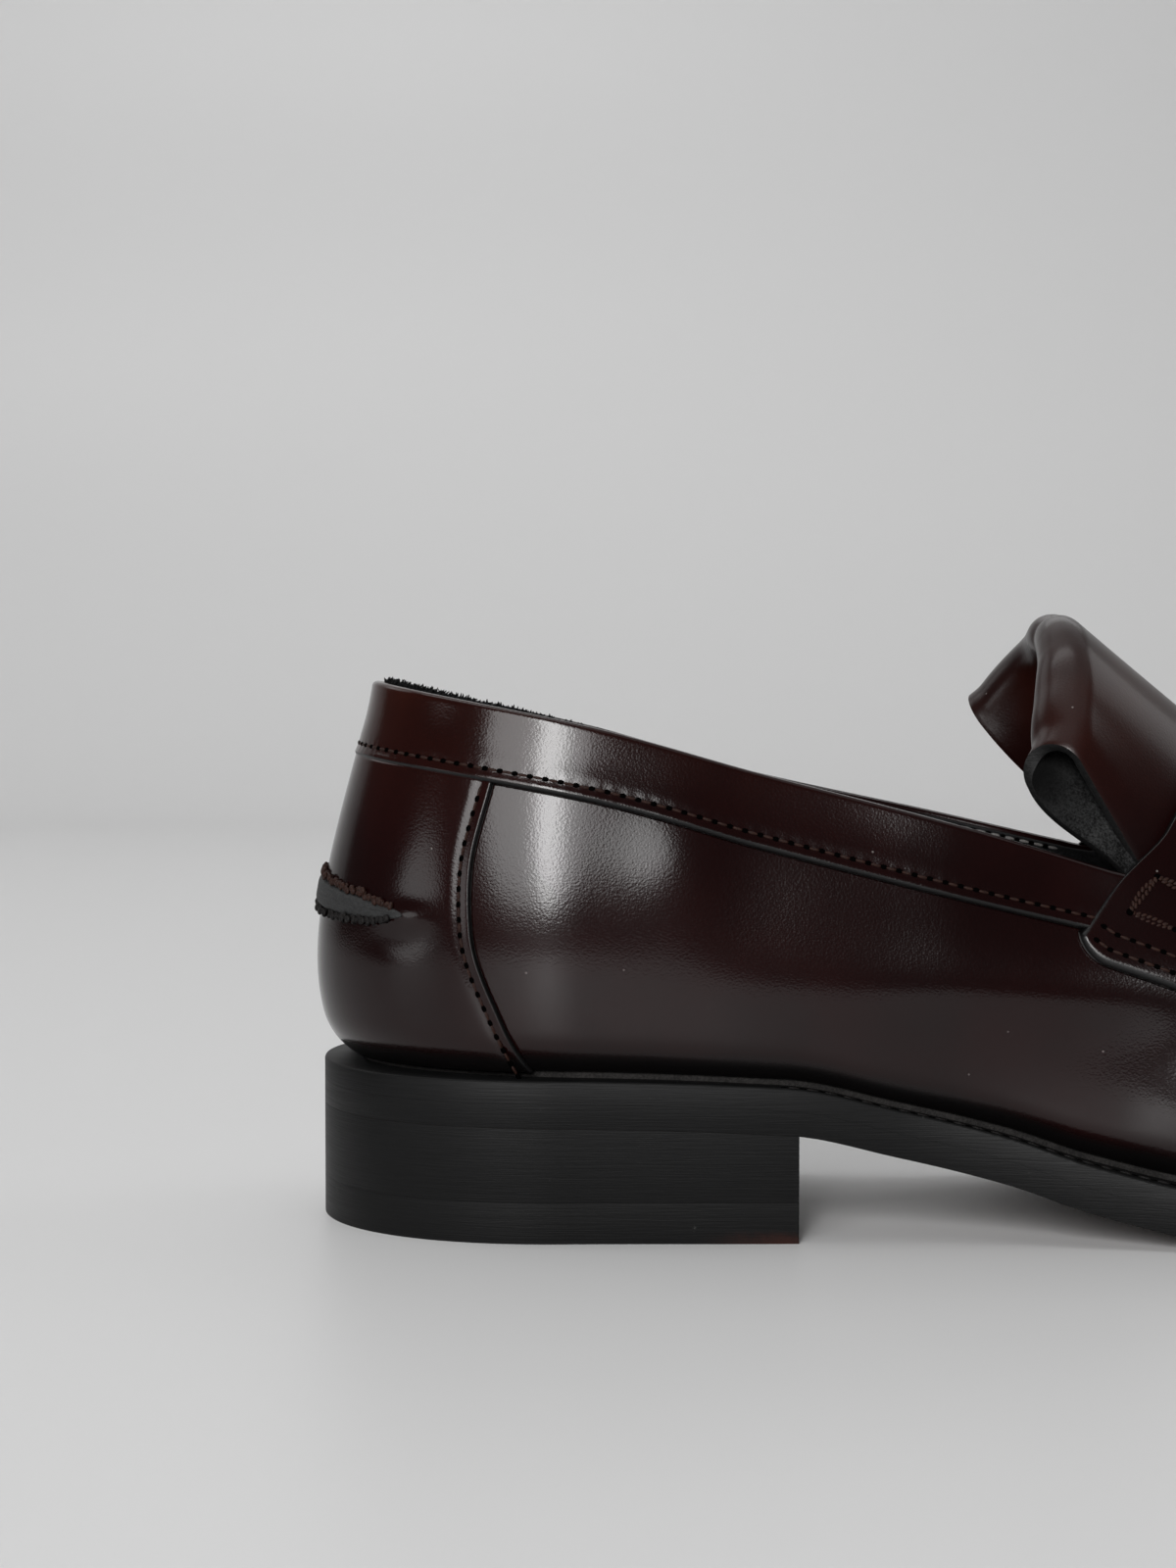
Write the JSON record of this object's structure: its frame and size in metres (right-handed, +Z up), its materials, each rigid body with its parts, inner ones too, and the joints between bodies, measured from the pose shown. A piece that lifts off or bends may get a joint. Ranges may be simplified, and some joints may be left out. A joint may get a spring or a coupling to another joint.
{
  "type": "strap loafer",
  "caption": "Polished oxblood slip-on leather shoe with a low stacked heel, banded collar, saddle strap over the instep and a tongue folded into a loop; open at the top for a foot.",
  "frame": {"origin": "on the floor under the middle of the whole shoe", "axes": "+X from heel to toe, -Y to the shoe's outer side, +Z up from the floor"},
  "size_m": [0.2981, 0.1055, 0.1003],
  "materials": {
    "oxblood_leather": "polished, dark red-brown",
    "black_edge_leather": "burnished black edge dye",
    "insole_leather": "black suede sock",
    "top_lift_rubber": "black, lightly scuffed"
  },
  "bodies": {
    "root": {"top_lift": "top_lift_rubber", "heel_stack": "black_edge_leather", "outsole": "black_edge_leather", "welt": "black_edge_leather", "insole": "insole_leather", "upper": "oxblood_leather", "back_counter": "oxblood_leather", "heel_dart": "black_edge_leather", "collar_band": "oxblood_leather", "tongue": "oxblood_leather", "saddle_strap": "oxblood_leather"}
  },
  "joints": []
}
